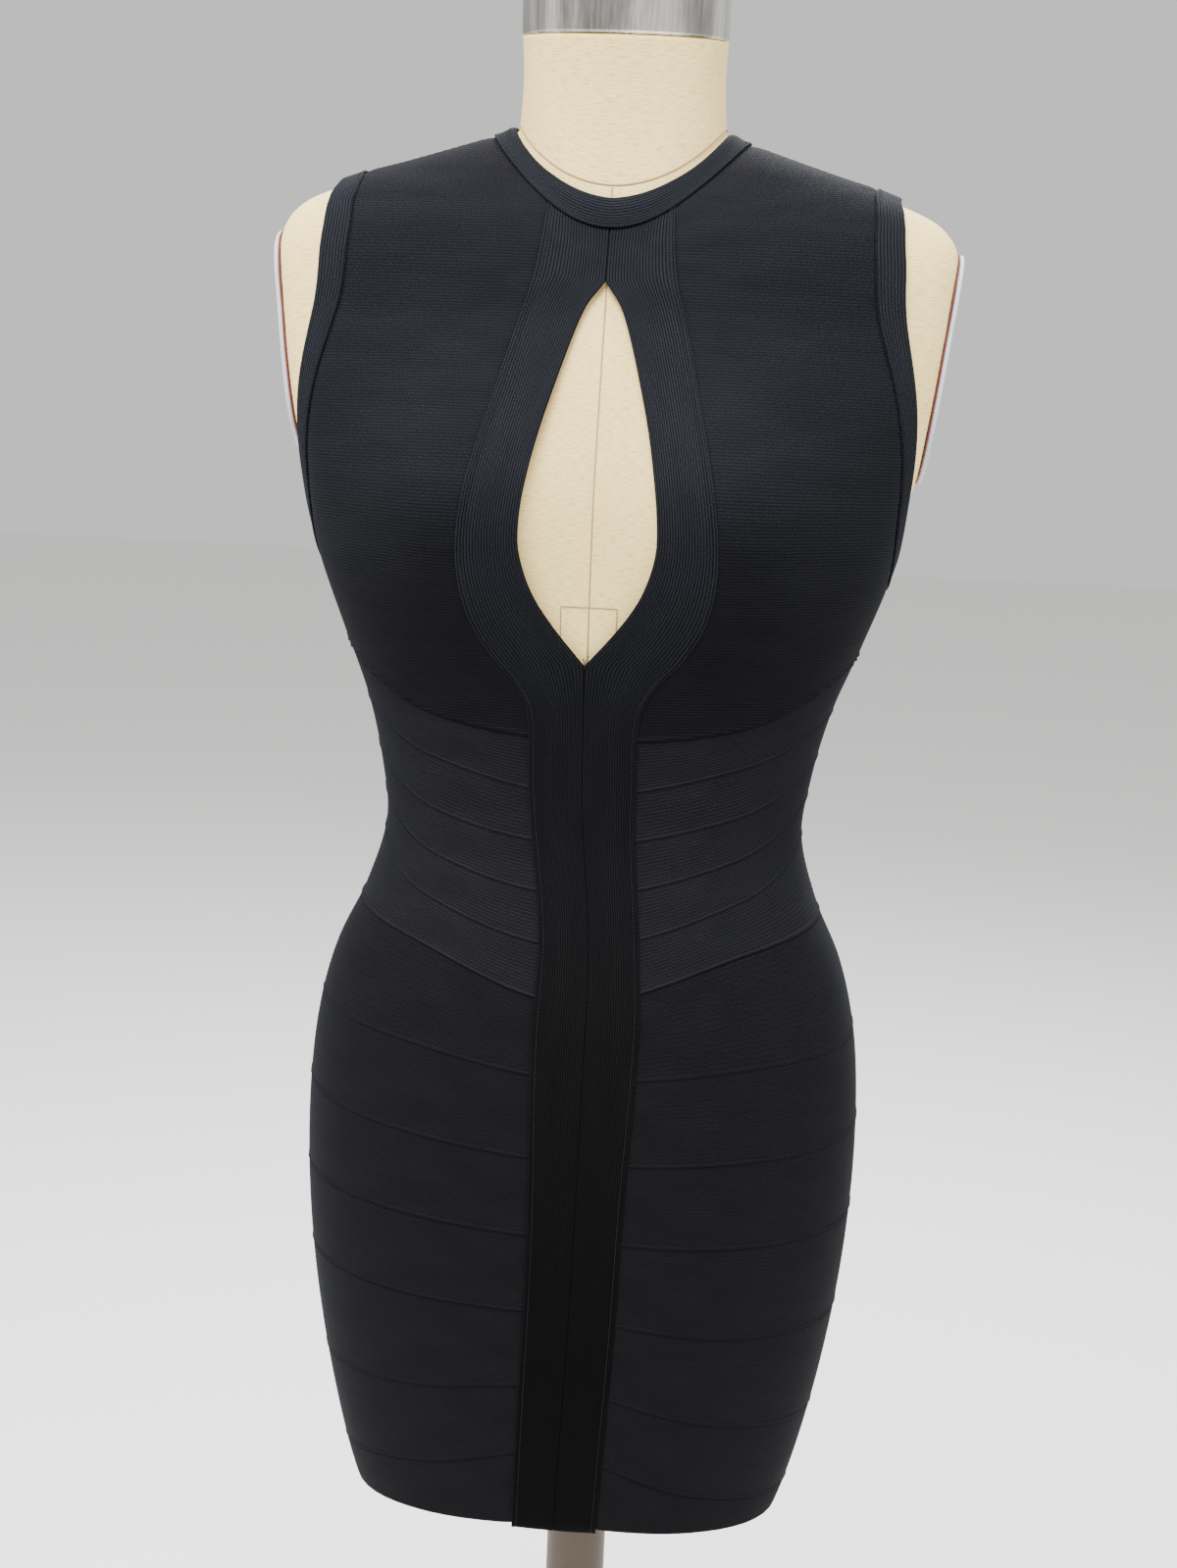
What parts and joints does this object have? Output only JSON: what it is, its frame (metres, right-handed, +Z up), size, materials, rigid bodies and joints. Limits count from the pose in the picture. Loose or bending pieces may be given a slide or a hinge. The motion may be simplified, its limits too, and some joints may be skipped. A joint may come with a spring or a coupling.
{
  "type": "bodycon dress on a limbless dress form",
  "caption": "Sleeveless high-neck bodycon mini dress of curved knit bands, with a keyhole front and a back zip, worn by a limbless linen dress form on a pole and round base.",
  "frame": {"origin": "middle of the underside of the base plate, on the floor and on the pole's axis", "axes": "+Z up along the pole, -Y the way the dress's front faces, +X towards the wearer's left"},
  "size_m": [0.42, 0.42, 1.4988],
  "materials": {
    "bodice_knit": "rib knit, near-black navy",
    "band_knit": "rib knit, charcoal black",
    "strip_knit": "rib knit, near-black navy",
    "zip_tape": "woven tape, black",
    "zip_metal": "gunmetal",
    "linen": "cream linen with slubs",
    "brushed_steel": "upright brushed",
    "plate_enamel": "satin",
    "pole_enamel": "satin"
  },
  "bodies": {
    "dress_and_form": {"front_strip_left": "strip_knit", "bodice_front_left": "bodice_knit", "bodice_back_left": "bodice_knit", "waist_band_1_left": "band_knit", "waist_band_2_left": "band_knit", "waist_band_3_left": "band_knit", "waist_band_4_left": "band_knit", "waist_band_5_left": "band_knit", "skirt_band_1_left": "band_knit", "skirt_band_2_left": "band_knit", "skirt_band_3_left": "band_knit", "skirt_band_4_left": "band_knit", "skirt_band_5_left": "band_knit", "skirt_band_6_left": "band_knit", "skirt_band_7_left": "band_knit", "armhole_binding_left": "strip_knit", "zip_tape_left": "zip_tape", "front_strip_right": "strip_knit", "bodice_front_right": "bodice_knit", "bodice_back_right": "bodice_knit", "waist_band_1_right": "band_knit", "waist_band_2_right": "band_knit", "waist_band_3_right": "band_knit", "waist_band_4_right": "band_knit", "waist_band_5_right": "band_knit", "skirt_band_1_right": "band_knit", "skirt_band_2_right": "band_knit", "skirt_band_3_right": "band_knit", "skirt_band_4_right": "band_knit", "skirt_band_5_right": "band_knit", "skirt_band_6_right": "band_knit", "skirt_band_7_right": "band_knit", "armhole_binding_right": "strip_knit", "zip_tape_right": "zip_tape", "neckband": "strip_knit", "zip_chain": "zip_metal", "zip_slider": "zip_metal", "form_torso": "linen", "form_neck": "linen", "neck_cap": "brushed_steel", "arm_plate_left": "plate_enamel", "arm_plate_right": "plate_enamel", "pole": "pole_enamel", "base_plate": "pole_enamel"},
    "pull_tab": {"zip_pull": "zip_metal"}
  },
  "joints": [
    {"name": "zip_pull_hinge", "type": "hinge", "parent": "dress_and_form", "child": "pull_tab", "pos_m": [-0.0075, 0.07056, 1.42151], "axis": [1, 0, 0], "range_deg": [0, 150]}
  ]
}
